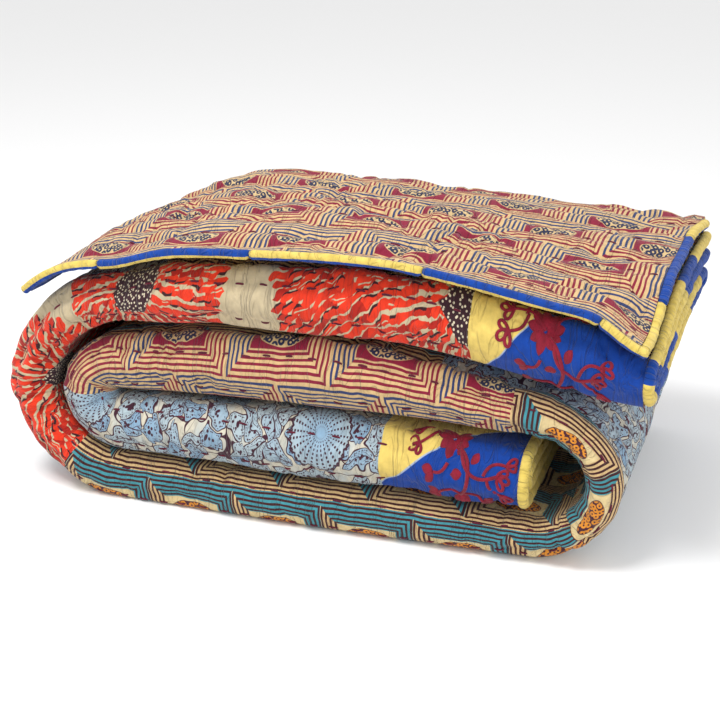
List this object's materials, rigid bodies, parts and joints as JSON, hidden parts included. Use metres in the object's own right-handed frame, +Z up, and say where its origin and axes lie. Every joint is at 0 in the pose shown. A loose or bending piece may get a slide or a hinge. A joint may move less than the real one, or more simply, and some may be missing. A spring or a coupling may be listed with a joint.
{
  "type": "folded patchwork quilt",
  "caption": "Hand-quilted patchwork quilt, folded lengthwise and rolled up loosely, with its bound last ply laid over the top.",
  "frame": {"origin": "on the surface the quilt lies on, under the middle of its box", "axes": "+X along the folded strip, to the right as seen from the rounded front fold; +Y to the back, where the long edges lie; +Z up"},
  "size_m": [0.678, 0.3888, 0.2917],
  "materials": {
    "quilted_cotton": "matte",
    "yellow_binding": "matte",
    "blue_binding": "matte"
  },
  "bodies": {
    "root": {"quilt": "quilted_cotton", "front_binding_1": "yellow_binding", "front_binding_2": "blue_binding", "front_binding_3": "yellow_binding", "front_binding_4": "blue_binding", "front_binding_5": "yellow_binding", "left_binding_1": "yellow_binding", "left_binding_2": "blue_binding", "left_binding_3": "yellow_binding", "right_binding_1": "yellow_binding", "right_binding_2": "blue_binding", "right_binding_3": "yellow_binding", "inner_end_binding": "yellow_binding", "outer_end_binding": "yellow_binding", "outer_long_binding": "blue_binding", "inner_long_binding": "blue_binding"}
  },
  "joints": []
}
